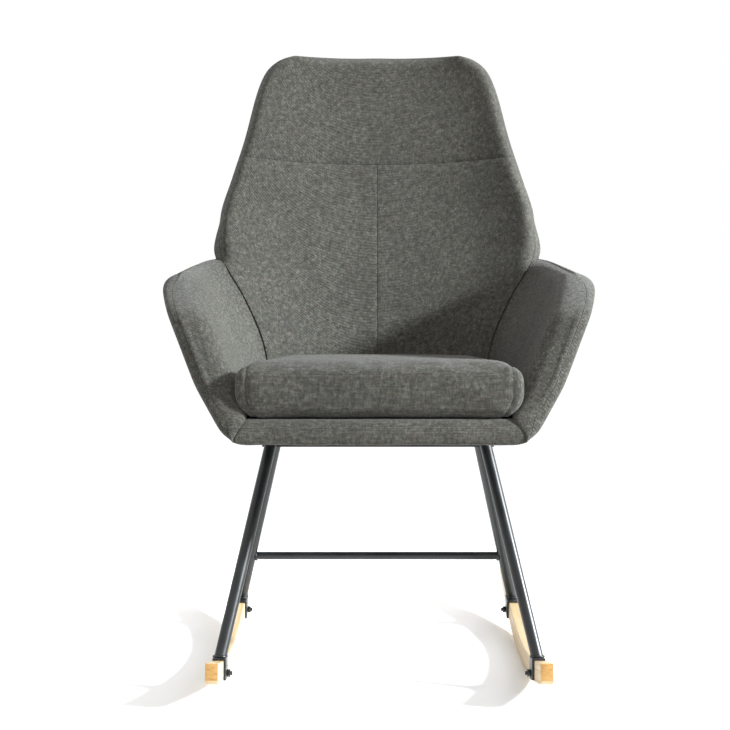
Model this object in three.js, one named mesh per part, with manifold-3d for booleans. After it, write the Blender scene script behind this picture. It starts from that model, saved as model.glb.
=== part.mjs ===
// Rocking armchair: an upholstered bucket shell with a loose seat cushion, on four
// splayed steel legs and two curved wooden rockers.
// Millimetres, +Z up. The front faces -Y and the left-right middle is x = 0.
import * as THREE from 'three';
import { mergeVertices } from 'three/addons/utils/BufferGeometryUtils.js';
import Module from 'manifold-3d';

// ---- clearances ----
const gap = 0.3; // between pieces that touch
const seatGap = 0.5; // under a flat plate that lies on the curved rocker
const boltGap = 0.4; // around a bolt in its hole

// ---- rockers ----
const rockerRadius = 1400; // underside arc
const rockerWidth = 19;
const rockerHeight = 30;
const rockerInner = 223.5; // x of the side that faces the other rocker
const rockerFront = 330; // reach ahead of the lowest point
const rockerRear = 408; // reach behind it
const rockerEdge = 3; // rounding of the long edges
const rockerHeel = 8; // rounding of the two tips
const facetTurn = THREE.MathUtils.degToRad(1.25); // one flat of the underside

// ---- rocker brackets and their bolts ----
const frontBracket = -215; // place along the rocker, from its lowest point
const rearBracket = 226;
const bracketLength = 40;
const bracketPlate = 3;
const bracketTail = 2; // the side plate ends this far above the underside
const boltRise = 11; // bolt above the underside
const boltRadius = 3;
const nutRadius = 5.77; // across the corners
const nutHeight = 5;
const boltTip = 3; // thread past the nut
const headRadius = 6;
const headHeight = 3;
const headSink = 3.6; // counterbore in the rocker's outer side

// ---- legs ----
const legRadius = 9;
const tubeWall = 1.5;
const legReach = 40; // spare length at each end before the ends are cut to fit
const frontTop = [159.8, -62]; // x and y where the leg meets the shell's underside
const rearTop = [156, 50.5];
const stretcherRadius = 6.5;
const stretcherHeight = 130;

// ---- shell, in its own frame: z = 0 is the flat underside ----
const shellHeight = 361; // above the floor, over the rockers' lowest point
const shellShift = -5; // forwards (-) or backwards (+) over the base
const seatTilt = THREE.MathUtils.degToRad(2);
const seatFront = -345;
const railHeight = 36;
const armRearHeight = 262;
const armFrontHeight = 230;
const armRake = 0.36; // the arm's front edge moves back this much as it rises
const armCorner = 22; // drop of the arm's rounded front corner
const cornerShare = 0.2; // of the arm's length
const armBulge = 6; // the arm's middle stands out this much from a straight line
const seamFade = 4; // an arm's wall thins at its top over one part in this many of its length
const armSpread = 0.42; // the arm's front edge leans out this much as it rises
const railInner = 180; // half width between the arms at the rail
const backRoot = 98; // inner face of the back at the rail's height
const backRecline = 0.29; // the back moves back this much as it rises
const shellBottomWall = 42;
const shellWall = 56;
const wallRise = 80; // height at which the wall is full
const crown = 20; // the wall thins by this much where its top edge is rounded
const crownShare = 0.15; // of the wall's rise
const boardThick = 15;
const boardDrop = 2; // board above the underside
const dustCover = 1.2;
const boardHalf = 184; // the board stays clear of the rounded hem: half width, and place of its rear edge
const boardRear = 108;
const coverThick = 8;
const coreThick = 12;
const coreShort = 1; // grid steps that the core stops short of an edge, so that foam alone wraps it
const coreShortTop = 3; // and of the back's top
const railWood = 20;
const railPad = 14;
const railSide = 8; // from the rail's end to the arm
const railDrop = 7; // wood below the deck pad's top
const deckInset = 3; // from the deck pad's edge to the walls

// ---- loose cushion ----
const cushionHeight = 76;
const cushionSide = 3; // to each arm
const cushionFront = 6; // behind the front edge of the rail
const cushionRear = 6; // to the back
const cushionRound = 38; // corners in plan
const cushionEdge = 14; // rounding of the top and bottom edges

// ---- steel frame under the seat ----
const plateThick = 4;
const plateInner = 134;
const plateOuter = 182;
const plateFront = -104;
const plateRear = 92;
const crossSide = 20;
const crossFront = -28;
const crossRear = 14;
const seatBoltX = 158;
const seatBoltFront = -90;
const seatBoltRear = 78;
const insertRadius = 4.4;
const crossInset = 4; // from a cross tube's end to the plate's edge
const seatBoltHead = 4;
const boltEndGap = 2; // between the bolt's end and the board's top

const boardTop = boardDrop + boardThick;

// Rows are [half width, height]: the seam with the arm, then the free edge up to the top.
const backEdge = [[166, boardTop + gap], [180, 125], [212, 203], [248, 268], [254, 340], [237, 403],
  [217, 471], [201, 541], [190, 576], [179, 596], [160, 611], [137, 617]];
const joinRow = 3; // the row where the arm's top meets the back
// Rows are [height, how far the back's edges come ahead of its middle].
const backHollow = [[0, 35], [130, 45], [262, 62], [430, 52], [617, 40]];
const hollowPower = 2.2;
const flatTurn = 0.15; // above the arms the back's edges turn in by only this share

const steelBlack = { color: 0x1d1f20, roughness: 0.45, metalness: 0.6 };
const beech = { color: 0xe3c08a, roughness: 0.5, metalness: 0 };
const plywood = { color: 0xcaa877, roughness: 0.7, metalness: 0 };
const greyWeave = { color: 0x63635b, roughness: 0.95, metalness: 0 };
const blackFelt = { color: 0x161616, roughness: 1, metalness: 0 };

const wasm = await Module();
wasm.setup();

// ---- solids ----

function bareGeometry(geometry) {
  const bare = new THREE.BufferGeometry();
  bare.setAttribute('position', geometry.getAttribute('position').clone());
  bare.setIndex(geometry.index ? geometry.index.clone() : null);
  return mergeVertices(bare, 1e-4);
}

function toSolid(geometry) {
  const bare = bareGeometry(geometry);
  return new wasm.Manifold(new wasm.Mesh({
    numProp: 3,
    vertProperties: new Float32Array(bare.getAttribute('position').array),
    triVerts: new Uint32Array(bare.index.array),
  }));
}

function fromSolid(solid) {
  const mesh = solid.getMesh();
  const geometry = new THREE.BufferGeometry();
  geometry.setAttribute('position', new THREE.BufferAttribute(mesh.vertProperties, 3));
  geometry.setIndex(new THREE.BufferAttribute(mesh.triVerts, 1));
  return geometry;
}

function cut(geometry, ...tools) {
  return fromSolid(tools.reduce((solid, tool) => solid.subtract(toSolid(tool)), toSolid(geometry)));
}

function boxBetween(low, high) {
  const size = high.map((value, axis) => value - low[axis]);
  const box = new THREE.BoxGeometry(...size);
  return box.translate(...high.map((value, axis) => (value + low[axis]) / 2));
}

function rodBetween(start, end, radius, sides) {
  const axis = end.clone().sub(start);
  const rod = new THREE.CylinderGeometry(radius, radius, axis.length(), sides);
  return alongAxis(rod.translate(0, axis.length() / 2, 0), start, axis);
}

function tubeBetween(start, end, radius, wall, sides) {
  const axis = end.clone().sub(start);
  const length = axis.length();
  const ring = [[radius - wall, 0], [radius, 0], [radius, length], [radius - wall, length],
    [radius - wall, 0]];
  const tube = new THREE.LatheGeometry(ring.map(([r, h]) => new THREE.Vector2(r, h)), sides);
  return alongAxis(tube, start, axis);
}

function alongAxis(geometry, start, axis) {
  const turn = new THREE.Quaternion();
  turn.setFromUnitVectors(new THREE.Vector3(0, 1, 0), axis.clone().normalize());
  return geometry.applyQuaternion(turn).translate(start.x, start.y, start.z);
}

function mirrorX(geometry) {
  const mirrored = bareGeometry(geometry);
  const position = mirrored.getAttribute('position');
  for (let i = 0; i < position.count; i += 1) position.setX(i, -position.getX(i));
  const index = mirrored.index.array;
  for (let i = 0; i < index.length; i += 3) {
    [index[i + 1], index[i + 2]] = [index[i + 2], index[i + 1]];
  }
  return mirrored;
}

// ---- scene graph helpers ----

const chair = new THREE.Group();
const base = new THREE.Group();
const shell = new THREE.Group();
shell.position.set(0, shellShift, shellHeight);
shell.rotation.x = -seatTilt;
chair.add(base, shell);
shell.updateMatrix();

function addPiece(parent, name, geometry, look) {
  const mesh = new THREE.Mesh(bareGeometry(geometry), new THREE.MeshStandardMaterial(look));
  mesh.geometry.computeVertexNormals();
  mesh.name = name;
  parent.add(mesh);
}

// The geometry is the right-hand piece, seen from the front: the one at +x.
function addPair(parent, name, geometry, look) {
  addPiece(parent, `${name}_right`, geometry, look);
  addPiece(parent, `${name}_left`, mirrorX(geometry), look);
}

// ---- rockers ----

// Turns a shape drawn as (y, z) into a solid that runs along x.
function extrudeAlongX(shape, low, high, edge) {
  const solid = new THREE.ExtrudeGeometry(shape, {
    depth: high - low - 2 * edge, steps: 1, bevelEnabled: edge > 0,
    bevelThickness: edge, bevelSize: edge, bevelOffset: -edge, bevelSegments: 2,
  });
  const turn = new THREE.Matrix4().makeBasis(
    new THREE.Vector3(0, 1, 0), new THREE.Vector3(0, 0, 1), new THREE.Vector3(1, 0, 0));
  return solid.applyMatrix4(turn).translate(low + edge, 0, 0);
}

const arcHeight = rockerRadius * Math.cos(facetTurn / 2); // the arc's centre above the floor

function rockerPoint(turn, rise) {
  const reach = rockerRadius - rise;
  return new THREE.Vector2(reach * Math.sin(turn), arcHeight - reach * Math.cos(turn));
}

function rockerShape() {
  const flatsAhead = Math.round(Math.asin(rockerFront / rockerRadius) / facetTurn - 0.5);
  const flatsBehind = Math.round(Math.asin(rockerRear / rockerRadius) / facetTurn - 0.5);
  const turns = [];
  for (let i = -flatsAhead; i <= flatsBehind + 1; i += 1) turns.push((i - 0.5) * facetTurn);
  const heelTurn = rockerHeel / rockerRadius;
  const first = turns[0];
  const last = turns[turns.length - 1];
  const points = [rockerPoint(first, rockerHeel), rockerPoint(first + heelTurn, 0)];
  turns.slice(1, -1).forEach((turn) => points.push(rockerPoint(turn, 0)));
  points.push(rockerPoint(last - heelTurn, 0), rockerPoint(last, rockerHeel));
  turns.reverse().forEach((turn) => points.push(rockerPoint(turn, rockerHeight)));
  return new THREE.Shape(points);
}

// Moves what is made over the lowest point to its place along the arc.
function alongRocker(place) {
  const turn = Math.asin(place / rockerRadius);
  return new THREE.Matrix4().makeTranslation(0, 0, arcHeight)
    .multiply(new THREE.Matrix4().makeRotationX(turn))
    .multiply(new THREE.Matrix4().makeTranslation(0, 0, -rockerRadius));
}

const rockerOuter = rockerInner + rockerWidth;
const sidePlate = rockerInner - gap - bracketPlate; // x of the bracket's free side
const bracketTop = rockerHeight + seatGap + bracketPlate;

function acrossRod(fromX, toX, radius, sides) {
  return rodBetween(new THREE.Vector3(fromX, 0, boltRise), new THREE.Vector3(toX, 0, boltRise),
    radius, sides);
}

function bracket() {
  const bend = bracketPlate;
  const profile = new THREE.Shape();
  profile.moveTo(sidePlate, bracketTail);
  profile.lineTo(sidePlate + bracketPlate, bracketTail);
  profile.lineTo(sidePlate + bracketPlate, bracketTop - bracketPlate);
  profile.lineTo(rockerOuter - rockerEdge, bracketTop - bracketPlate);
  profile.lineTo(rockerOuter - rockerEdge, bracketTop);
  profile.lineTo(sidePlate + bend, bracketTop);
  profile.absarc(sidePlate + bend, bracketTop - bend, bend, Math.PI / 2, Math.PI, false);
  const solid = new THREE.ExtrudeGeometry(profile, {
    depth: bracketLength, steps: 1, bevelEnabled: false, curveSegments: 6,
  });
  const turn = new THREE.Matrix4().makeBasis(
    new THREE.Vector3(1, 0, 0), new THREE.Vector3(0, 0, 1), new THREE.Vector3(0, -1, 0));
  solid.applyMatrix4(turn).translate(0, bracketLength / 2, 0);
  return cut(solid, acrossRod(sidePlate - 1, rockerInner, boltRadius + boltGap, 20));
}

function rockerBolt() {
  const headSeat = rockerOuter - headSink + gap;
  const tip = sidePlate - gap - nutHeight - boltTip;
  const profile = [[0, 0], [boltRadius, 0], [boltRadius, headSeat - tip], [headRadius, headSeat - tip],
    [headRadius - 1, headSeat - tip + headHeight], [0, headSeat - tip + headHeight]];
  const bolt = new THREE.LatheGeometry(profile.map(([r, h]) => new THREE.Vector2(r, h)), 20);
  return alongAxis(bolt, new THREE.Vector3(tip, 0, boltRise), new THREE.Vector3(1, 0, 0));
}

function rockerNut() {
  const nut = acrossRod(sidePlate - gap - nutHeight, sidePlate - gap, nutRadius, 6);
  return cut(nut, acrossRod(sidePlate - nutHeight - 2, sidePlate, boltRadius + gap, 20));
}

function addRockers() {
  let rocker = extrudeAlongX(rockerShape(), rockerInner, rockerOuter, rockerEdge);
  [frontBracket, rearBracket].forEach((place) => {
    const hole = acrossRod(rockerInner - 5, rockerOuter + 5, boltRadius + boltGap, 20);
    const sink = acrossRod(rockerOuter - headSink, rockerOuter + 5, headRadius + boltGap, 24);
    rocker = cut(rocker, hole.applyMatrix4(alongRocker(place)), sink.applyMatrix4(alongRocker(place)));
  });
  addPair(base, 'rocker', rocker, beech);
  [['front', frontBracket], ['rear', rearBracket]].forEach(([end, place]) => {
    const move = alongRocker(place);
    addPair(base, `rocker_bracket_${end}`, bracket().applyMatrix4(move), steelBlack);
    addPair(base, `rocker_bolt_${end}`, rockerBolt().applyMatrix4(move), steelBlack);
    addPair(base, `rocker_nut_${end}`, rockerNut().applyMatrix4(move), steelBlack);
  });
}

// ---- legs and stretcher ----

function legFoot(place) {
  const foot = new THREE.Vector3((sidePlate + rockerOuter - rockerEdge) / 2, 0, bracketTop + gap);
  return foot.applyMatrix4(alongRocker(place));
}

function legTop([x, y]) {
  return new THREE.Vector3(x, y, shellHeight);
}

function leg(place, topPlace) {
  const foot = legFoot(place);
  const top = legTop(topPlace);
  const reach = top.clone().sub(foot).normalize().multiplyScalar(legReach);
  const tube = tubeBetween(foot.clone().sub(reach), top.clone().add(reach), legRadius, tubeWall, 24);
  const around = 100; // half the side of the blocks that cut the ends
  const below = boxBetween([foot.x - around, -around, bracketTop + gap - around],
    [foot.x + around, around, bracketTop + gap]);
  const above = boxBetween([top.x - around, top.y - around, -gap - plateThick - gap],
    [top.x + around, top.y + around, around]);
  return cut(tube, below.applyMatrix4(alongRocker(place)), above.applyMatrix4(shell.matrix));
}

function addLegs() {
  addPair(base, 'leg_front', leg(frontBracket, frontTop), steelBlack);
  addPair(base, 'leg_rear', leg(rearBracket, rearTop), steelBlack);
  const foot = legFoot(rearBracket);
  const top = legTop(rearTop);
  const share = (stretcherHeight - foot.z) / (top.z - foot.z);
  const end = foot.clone().lerp(top, share);
  const other = new THREE.Vector3(-end.x, end.y, end.z);
  const legSolid = rodBetween(foot, top, legRadius + gap, 24);
  const stretcher = tubeBetween(end, other, stretcherRadius, tubeWall, 16);
  addPiece(base, 'rear_stretcher', cut(stretcher, legSolid, mirrorX(legSolid)), steelBlack);
}

// ---- shell surface ----

function valueAt(rows, input) {
  const next = Math.max(1, rows.findIndex(([at]) => at >= input));
  const last = input > rows[rows.length - 1][0] ? rows.length - 1 : next;
  const [fromAt, fromValue] = rows[last - 1];
  const [toAt, toValue] = rows[last];
  return fromValue + ((toValue - fromValue) * (input - fromAt)) / (toAt - fromAt);
}

const edgeCurve = new THREE.SplineCurve(backEdge.map(([x, z]) => new THREE.Vector2(x, z)));
const joinShare = joinRow / (backEdge.length - 1);

function wallAt(z, up) {
  const full = shellBottomWall + (shellWall - shellBottomWall) * Math.min(1, Math.max(0, z) / wallRise);
  return full - crown * Math.max(0, (up - 1 + crownShare) / crownShare) ** 2;
}

function backFace(z) {
  return backRoot + backRecline * (z - railHeight);
}

// across runs from -1 at the left edge to 1 at the right edge, up from 0 to 1 along the edge curve.
function backPoint(across, up) {
  const edge = edgeCurve.getPoint(up);
  const hollow = valueAt(backHollow, edge.y);
  const y = backFace(edge.y) - hollow * Math.abs(across) ** hollowPower;
  const free = Math.max(0, (up - joinShare) * (backEdge.length - 1));
  const turn = Math.max(flatTurn, 1 - free);
  const slope = (hollowPower * hollow * Math.abs(across) ** (hollowPower - 1)) / edge.x;
  return {
    point: new THREE.Vector3(across * edge.x, y, edge.y),
    outward: new THREE.Vector3(turn * slope * Math.sign(across), 1, 0).normalize(),
    wall: wallAt(edge.y, up),
  };
}

// along runs from 0 at the seam with the back to 1 at the front edge.
function armPoint(along, up) {
  const seam = backPoint(1, up * joinShare);
  const topDrop = (armRearHeight - armFrontHeight) * along;
  const corner = armCorner * Math.max(0, (along - 1 + cornerShare) / cornerShare) ** 2;
  const z = seam.point.z - (topDrop + corner) * up ** 2;
  const front = new THREE.Vector2(railInner + armSpread * (z - railHeight), seatFront + armRake * z);
  const bendX = Math.max(front.x, seam.point.x) + armBulge;
  const bendY = seam.point.y - ((bendX - seam.point.x) * seam.outward.x) / seam.outward.y;
  const curve = new THREE.QuadraticBezierCurve(new THREE.Vector2(seam.point.x, seam.point.y),
    new THREE.Vector2(bendX, bendY), front);
  const place = curve.getPoint(along);
  const heading = curve.getTangent(along);
  return {
    point: new THREE.Vector3(place.x, place.y, z),
    outward: new THREE.Vector3(-heading.y, heading.x, 0),
    wall: wallAt(z, up * Math.min(1, along * seamFade)),
  };
}

function evenly(low, high, count) {
  return Array.from({ length: count + 1 }, (_, i) => low + ((high - low) * i) / count);
}

// A closed sheet between two distances behind a surface, measured level.
function sheet(surface, columns, rows, [nearSide, farSide]) {
  const vertices = [];
  [nearSide, farSide].forEach((side) => rows.forEach((row) => columns.forEach((column) => {
    const spot = surface(column, row);
    vertices.push(...spot.point.addScaledVector(spot.outward, side(spot.wall)));
  })));
  const nu = columns.length - 1;
  const nv = rows.length - 1;
  const layer = (nu + 1) * (nv + 1);
  const at = (i, j, far) => far * layer + j * (nu + 1) + i;
  const faces = [];
  const quad = (a, b, c, d) => faces.push(a, b, c, a, c, d);
  for (let j = 0; j < nv; j += 1) {
    for (let i = 0; i < nu; i += 1) {
      quad(at(i, j, 0), at(i + 1, j, 0), at(i + 1, j + 1, 0), at(i, j + 1, 0));
      quad(at(i, j, 1), at(i, j + 1, 1), at(i + 1, j + 1, 1), at(i + 1, j, 1));
    }
    quad(at(0, j, 1), at(0, j, 0), at(0, j + 1, 0), at(0, j + 1, 1));
    quad(at(nu, j, 0), at(nu, j, 1), at(nu, j + 1, 1), at(nu, j + 1, 0));
  }
  for (let i = 0; i < nu; i += 1) {
    quad(at(i, 0, 1), at(i + 1, 0, 1), at(i + 1, 0, 0), at(i, 0, 0));
    quad(at(i, nv, 0), at(i + 1, nv, 0), at(i + 1, nv, 1), at(i, nv, 1));
  }
  const geometry = new THREE.BufferGeometry();
  geometry.setAttribute('position', new THREE.Float32BufferAttribute(vertices, 3));
  geometry.setIndex(faces);
  return geometry;
}

const layers = {
  pad: [() => 0, (wall) => wall - coverThick - coreThick - 2 * gap],
  frame: [(wall) => wall - coverThick - coreThick - gap, (wall) => wall - coverThick - gap],
  cover: [(wall) => wall - coverThick, (wall) => wall],
};

function addWalls() {
  const slit = 0.006; // share of an arm's length left open at the seam with the back
  const armRows = evenly(0, 1, 8);
  const backRows = [...armRows.map((up) => up * joinShare), ...evenly(joinShare, 1, 10).slice(1)];
  Object.entries(layers).forEach(([layer, sides]) => {
    const isCore = layer === 'frame';
    const look = isCore ? plywood : greyWeave;
    const short = isCore ? coreShort : 0;
    const shortTop = isCore ? coreShortTop : 0;
    const backColumns = evenly(-1, 1, 16);
    const armColumns = evenly(slit, 1, 12);
    addPiece(shell, `back_${layer}`, sheet(backPoint, backColumns.slice(short, backColumns.length - short),
      backRows.slice(0, backRows.length - shortTop), sides), look);
    addPair(shell, `arm_${layer}`, sheet(armPoint, armColumns.slice(0, armColumns.length - short),
      armRows.slice(0, armRows.length - short), sides), look);
  });
}

// ---- seat base ----

// Half of a level outline round the seat, from the front edge to the middle of the back,
// at a distance behind the inner face.
function plan(behind) {
  const steps = 8;
  const round = evenly(0, 1, steps).reverse();
  const spots = [...round.map((along) => armPoint(along, 0)),
    ...round.slice(1).map((across) => backPoint(across, 0))];
  return spots.map(({ point, outward }) => {
    const moved = point.clone().addScaledVector(outward, behind);
    return new THREE.Vector2(Math.max(0, moved.x), moved.y);
  });
}

// Keeps a half outline within a half width and a rear edge.
function within(half, widest, rearmost) {
  const held = half.map(({ x, y }) => new THREE.Vector2(Math.min(x, widest), Math.min(y, rearmost)));
  return held.filter((spot, i) => i === 0 || spot.distanceTo(held[i - 1]) > gap);
}

function levelSlab(half, low, high) {
  const mirrored = half.slice(0, -1).reverse().map(({ x, y }) => new THREE.Vector2(-x, y));
  const shape = new THREE.Shape([...half, ...mirrored]);
  const slab = new THREE.ExtrudeGeometry(shape, { depth: high - low, steps: 1, bevelEnabled: false });
  return slab.translate(0, 0, low);
}

const seatBolts = [['front', seatBoltFront], ['rear', seatBoltRear]];

function uprightRod(x, y, low, high, radius, sides) {
  return rodBetween(new THREE.Vector3(x, y, low), new THREE.Vector3(x, y, high), radius, sides);
}

function addSeatBase() {
  const holes = (radius) => seatBolts.flatMap(([, y]) => [seatBoltX, -seatBoltX].map(
    (x) => uprightRod(x, y, -5, boardTop + 5, radius, 20)));
  const rail = boxBetween([-400, seatFront - 50, -10], [400, seatFront + railPad + gap, boardTop + 10]);
  const outline = within(plan(shellBottomWall - coverThick - gap), boardHalf, boardRear);
  const board = levelSlab(outline, boardDrop, boardTop);
  addPiece(shell, 'seat_board', cut(board, rail, ...holes(insertRadius + gap)), plywood);
  const dust = levelSlab(outline, boardDrop - gap - dustCover, boardDrop - gap);
  addPiece(shell, 'dust_cover', cut(dust, rail, ...holes(boltRadius + boltGap)), blackFelt);
  const skirt = levelSlab(plan(shellBottomWall), 0, boardTop);
  const inside = within(plan(shellBottomWall - coverThick), boardHalf + gap, boardRear + gap);
  const hollow = levelSlab(inside, -5, boardTop + 5);
  addPiece(shell, 'seat_skirt', cut(skirt, hollow, rail), greyWeave);
  addRail();
  const deckFront = seatFront + railPad + railWood + 2 * gap;
  const deck = plan(-deckInset).map(({ x, y }) => new THREE.Vector2(x, Math.max(y, deckFront)));
  addPiece(shell, 'seat_deck_pad', levelSlab(deck, boardTop + gap, railHeight), greyWeave);
}

function addRail() {
  const width = railInner - railSide;
  const wood = boxBetween([-width, seatFront + railPad + gap, boardTop + gap],
    [width, seatFront + railPad + railWood, railHeight - railDrop]);
  addPiece(shell, 'front_rail', wood, plywood);
  const pad = boxBetween([-width, seatFront, 0], [width, seatFront + railPad - gap, railHeight]);
  addPiece(shell, 'front_rail_pad', pad, greyWeave);
}

function addSteelFrame() {
  const low = -gap - plateThick;
  const plate = boxBetween([plateInner, plateFront, low], [plateOuter, plateRear, -gap]);
  const holes = seatBolts.map(([, y]) => uprightRod(seatBoltX, y, low - 5, 5, boltRadius + boltGap, 20));
  addPair(shell, 'mount_plate', cut(plate, ...holes), steelBlack);
  [['front', crossFront], ['rear', crossRear]].forEach(([end, y]) => {
    const top = low - gap;
    const reach = plateOuter - crossInset;
    const outside = boxBetween([-reach, y - crossSide / 2, top - crossSide], [reach, y + crossSide / 2, top]);
    const inside = boxBetween([-reach - 5, y - crossSide / 2 + tubeWall, top - crossSide + tubeWall],
      [reach + 5, y + crossSide / 2 - tubeWall, top - tubeWall]);
    addPiece(shell, `cross_tube_${end}`, cut(outside, inside), steelBlack);
  });
  seatBolts.forEach(([end, y]) => {
    const insertLow = boardDrop;
    const insert = cut(uprightRod(seatBoltX, y, insertLow, boardTop - 1, insertRadius, 20),
      uprightRod(seatBoltX, y, insertLow - 2, boardTop + 2, boltRadius + gap, 20));
    addPair(shell, `threaded_insert_${end}`, insert, steelBlack);
    const headTop = low - gap;
    const shank = toSolid(uprightRod(seatBoltX, y, headTop - 1, boardTop - boltEndGap, boltRadius, 20));
    const head = toSolid(uprightRod(seatBoltX, y, headTop - seatBoltHead, headTop, nutRadius, 6));
    addPair(shell, `seat_bolt_${end}`, fromSolid(shank.add(head)), steelBlack);
  });
}

// ---- cushion ----

// Half widths at the front and the rear follow the faces of the arms as they spread upwards.
function cushionHalf(share, rise) {
  const front = railInner - cushionSide + armSpread * rise;
  const rearSpread = (backEdge[1][0] - backEdge[0][0]) / (backEdge[1][1] - backEdge[0][1]);
  const rear = backEdge[0][0] - cushionSide + rearSpread * rise;
  return front + (rear - front) * share;
}

function addCushion() {
  const low = railHeight + gap;
  const frontY = seatFront + cushionFront;
  const middleY = backRoot - cushionRear;
  const cornerY = middleY - backHollow[0][1];
  const shape = new THREE.Shape();
  const corner = (x, y, from) => shape.absarc(x, y, cushionRound, from, from + Math.PI / 2, false);
  const half = cushionHalf(0, 0);
  corner(half - cushionRound, frontY + cushionRound, -Math.PI / 2);
  corner(half - cushionRound, cornerY - cushionRound, 0);
  shape.quadraticCurveTo(0, 2 * middleY - cornerY, -half + cushionRound, cornerY);
  corner(-half + cushionRound, cornerY - cushionRound, Math.PI / 2);
  corner(-half + cushionRound, frontY + cushionRound, Math.PI);
  const solid = new THREE.ExtrudeGeometry(shape, {
    depth: cushionHeight - 2 * cushionEdge, steps: 2, bevelEnabled: true, curveSegments: 6,
    bevelThickness: cushionEdge, bevelSize: cushionEdge, bevelOffset: -cushionEdge, bevelSegments: 3,
  });
  const position = solid.getAttribute('position');
  for (let i = 0; i < position.count; i += 1) {
    const share = (position.getY(i) - frontY) / (middleY - frontY);
    const widen = cushionHalf(share, position.getZ(i) + cushionEdge) / half;
    position.setX(i, position.getX(i) * widen);
  }
  addPiece(shell, 'seat_cushion', solid.translate(0, 0, low + cushionEdge), greyWeave);
}

addRockers();
addLegs();
addSteelFrame();
addSeatBase();
addWalls();
addCushion();

// The origin is on the floor, in the middle of the whole object's box.
const bounds = new THREE.Box3().setFromObject(chair);
chair.position.y = -(bounds.min.y + bounds.max.y) / 2;

export default chair;
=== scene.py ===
import math

import bpy
import numpy as np
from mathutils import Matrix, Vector, noise


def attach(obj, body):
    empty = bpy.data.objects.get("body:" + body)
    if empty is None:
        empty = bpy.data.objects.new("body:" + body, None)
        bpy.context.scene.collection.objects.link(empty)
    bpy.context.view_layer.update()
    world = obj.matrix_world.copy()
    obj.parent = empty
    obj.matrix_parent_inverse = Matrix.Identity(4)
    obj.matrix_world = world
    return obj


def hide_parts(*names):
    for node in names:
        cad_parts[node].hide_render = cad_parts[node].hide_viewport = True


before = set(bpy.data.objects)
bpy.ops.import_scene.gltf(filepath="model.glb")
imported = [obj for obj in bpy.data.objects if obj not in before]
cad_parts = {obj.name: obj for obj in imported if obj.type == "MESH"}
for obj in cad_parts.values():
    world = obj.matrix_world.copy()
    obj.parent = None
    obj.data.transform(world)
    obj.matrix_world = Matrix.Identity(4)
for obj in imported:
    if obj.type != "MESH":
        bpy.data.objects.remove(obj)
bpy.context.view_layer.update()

print("frame loaded with", len(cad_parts), "nodes")


def takeHold(obj):
    bpy.ops.object.select_all(action="DESELECT")
    obj.select_set(True)
    bpy.context.view_layer.objects.active = obj


def editAll(obj):
    takeHold(obj)
    bpy.ops.object.mode_set(mode="EDIT")
    bpy.ops.mesh.select_all(action="SELECT")


def leaveEdit():
    bpy.ops.object.mode_set(mode="OBJECT")


def applyModifiers(obj):
    takeHold(obj)
    for modifier in list(obj.modifiers):
        bpy.ops.object.modifier_apply(modifier=modifier.name)


# puts the object's place into its mesh
def settle(obj):
    takeHold(obj)
    bpy.ops.object.transform_apply(location=True, rotation=True, scale=True)


def meshObject(name, points, faces):
    mesh = bpy.data.meshes.new(name)
    mesh.from_pydata([tuple(p) for p in points], [], faces)
    mesh.validate()
    obj = bpy.data.objects.new(name, mesh)
    bpy.context.scene.collection.objects.link(obj)
    editAll(obj)
    bpy.ops.mesh.normals_make_consistent(inside=False)
    leaveEdit()
    bpy.ops.object.shade_smooth()
    return obj


def meshPoints(obj):
    flat = np.zeros(len(obj.data.vertices) * 3)
    obj.data.vertices.foreach_get("co", flat)
    return flat.reshape(-1, 3)


def setPoints(obj, points):
    obj.data.vertices.foreach_set("co", np.asarray(points, float).ravel())
    obj.data.update()


def meshNormals(obj):
    flat = np.zeros(len(obj.data.vertices) * 3)
    obj.data.vertex_normals.foreach_get("vector", flat)
    return flat.reshape(-1, 3)


def giveAttribute(obj, name, values):
    layer = obj.data.attributes.new(name, "FLOAT", "POINT")
    layer.data.foreach_set("value", np.asarray(values, np.float32))


def finishPiece(obj, material, body, replaced=()):
    obj.data.materials.clear()
    obj.data.materials.append(material)
    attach(obj, body)
    if replaced:
        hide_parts(*replaced)
    print("made", obj.name, len(obj.data.polygons), "faces")


def startMaterial(name):
    material = bpy.data.materials.new(name)
    material.use_nodes = True
    tree = material.node_tree
    return material, tree, tree.nodes["Principled BSDF"]


def objectPlace(tree, scale=(1, 1, 1)):
    place = tree.nodes.new("ShaderNodeTexCoord")
    stretch = tree.nodes.new("ShaderNodeMapping")
    stretch.inputs["Scale"].default_value = scale
    tree.links.new(place.outputs["Object"], stretch.inputs["Vector"])
    return stretch.outputs["Vector"]


def addNoise(tree, scale, detail=2.0, rough=0.5):
    texture = tree.nodes.new("ShaderNodeTexNoise")
    texture.inputs["Scale"].default_value = 1.0
    texture.inputs["Detail"].default_value = detail
    texture.inputs["Roughness"].default_value = rough
    tree.links.new(objectPlace(tree, scale), texture.inputs["Vector"])
    return texture.outputs["Fac"]


def calc(tree, how, first, second=None, third=None):
    node = tree.nodes.new("ShaderNodeMath")
    node.operation = how
    for socket, value in zip(node.inputs, (first, second, third)):
        if value is None:
            continue
        if isinstance(value, (int, float)):
            socket.default_value = value
        else:
            tree.links.new(value, socket)
    return node.outputs[0]


def mapRange(tree, value, low, high, toLow, toHigh):
    node = tree.nodes.new("ShaderNodeMapRange")
    tree.links.new(value, node.inputs["Value"])
    for key, number in (("From Min", low), ("From Max", high), ("To Min", toLow), ("To Max", toHigh)):
        node.inputs[key].default_value = number
    return node.outputs["Result"]


def ramp(tree, value, stops):
    node = tree.nodes.new("ShaderNodeValToRGB")
    colours = node.color_ramp.elements
    while len(colours) < len(stops):
        colours.new(0.5)
    for element, (place, colour) in zip(colours, stops):
        element.position = place
        element.color = (*colour, 1)
    tree.links.new(value, node.inputs["Fac"])
    return node.outputs["Color"]


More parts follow.
